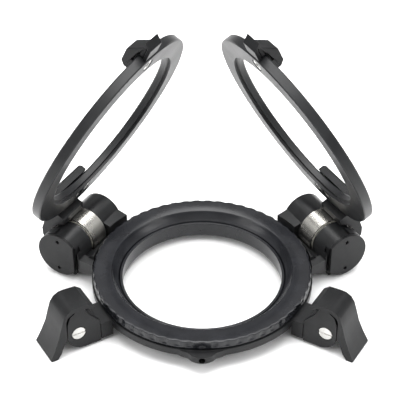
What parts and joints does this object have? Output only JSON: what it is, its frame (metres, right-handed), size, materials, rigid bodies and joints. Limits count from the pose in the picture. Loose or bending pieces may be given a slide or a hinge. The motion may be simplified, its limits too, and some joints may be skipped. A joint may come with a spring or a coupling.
{
  "type": "double flip lens holder",
  "caption": "Black double flip-up lens holder: knurled thread ring with two hinged lens rings swung open, and two sprung lever latches.",
  "frame": {"origin": "on the optical axis, at the shoulder that seats against the port", "axes": "+Z along the optical axis, away from the port; -Y towards the index boss; +X towards the right hinge, and the two halves mirror about X = 0"},
  "size_m": [0.135, 0.1101, 0.1145],
  "materials": {
    "anodised_black": "black anodised, satin",
    "anodised_satin": "black anodised, fine turned satin",
    "stainless": "turned stainless steel",
    "spring_steel": "oiled spring steel",
    "acetal": "moulded acetal"
  },
  "bodies": {
    "base": {"base_ring": "anodised_black", "glide_ring": "acetal", "left_bracket_screw_1": "stainless", "left_bracket_screw_2": "stainless", "left_disc_spring_1": "spring_steel", "left_disc_spring_2": "spring_steel", "left_disc_spring_3": "spring_steel", "left_friction_washer": "acetal", "left_hinge_bracket": "anodised_black", "left_hinge_cap": "anodised_black", "left_hinge_nut": "stainless", "left_hinge_pin": "stainless", "left_latch_bracket": "anodised_black", "left_latch_pin": "stainless", "left_latch_spring": "spring_steel", "lock_screw": "stainless", "right_bracket_screw_1": "stainless", "right_bracket_screw_2": "stainless", "right_disc_spring_1": "spring_steel", "right_disc_spring_2": "spring_steel", "right_disc_spring_3": "spring_steel", "right_friction_washer": "acetal", "right_hinge_bracket": "anodised_black", "right_hinge_cap": "anodised_black", "right_hinge_nut": "stainless", "right_hinge_pin": "stainless", "right_latch_bracket": "anodised_black", "right_latch_pin": "stainless", "right_latch_spring": "spring_steel"},
    "mount_ring": {"knurled_ring": "anodised_black", "thread_sleeve": "anodised_black"},
    "left_flip": {"left_arm_screw_1": "stainless", "left_arm_screw_2": "stainless", "left_flip_arm": "anodised_black", "left_hinge_hub": "anodised_black", "left_hinge_sleeve": "stainless", "left_latch_catch": "anodised_black", "left_latch_tab": "anodised_black", "left_lens_ring": "anodised_satin", "left_ring_screw_1": "stainless", "left_ring_screw_2": "stainless", "left_ring_screw_3": "stainless"},
    "left_latch": {"left_latch_lever": "anodised_black"},
    "right_flip": {"right_arm_screw_1": "stainless", "right_arm_screw_2": "stainless", "right_flip_arm": "anodised_black", "right_hinge_hub": "anodised_black", "right_hinge_sleeve": "stainless", "right_latch_catch": "anodised_black", "right_latch_tab": "anodised_black", "right_lens_ring": "anodised_satin", "right_ring_screw_1": "stainless", "right_ring_screw_2": "stainless", "right_ring_screw_3": "stainless"},
    "right_latch": {"right_latch_lever": "anodised_black"}
  },
  "joints": [
    {"name": "ring_turn", "type": "hinge", "parent": "base", "child": "mount_ring", "pos_m": [0, 0, 0.0035], "axis": [0, 0, 1], "continuous": true},
    {"name": "left_lens_flip", "type": "hinge", "parent": "base", "child": "left_flip", "pos_m": [-0.0485, 0.028, 0.0053], "axis": [-0.5, -0.866, 0], "range_deg": [-67.7, 80]},
    {"name": "right_lens_flip", "type": "hinge", "parent": "base", "child": "right_flip", "pos_m": [0.0485, 0.028, 0.0053], "axis": [0.5, -0.866, 0], "range_deg": [-80, 67.7]},
    {"name": "left_latch_release", "type": "hinge", "parent": "base", "child": "left_latch", "pos_m": [-0.05066, -0.02925, 0.0031], "axis": [0.5, -0.866, 0], "range_deg": [0, 18], "stiffness_Nm_per_rad": 0.05, "springref_deg": -20.05},
    {"name": "right_latch_release", "type": "hinge", "parent": "base", "child": "right_latch", "pos_m": [0.05066, -0.02925, 0.0031], "axis": [0.5, 0.866, 0], "range_deg": [0, 18], "stiffness_Nm_per_rad": 0.05, "springref_deg": -20.05}
  ]
}
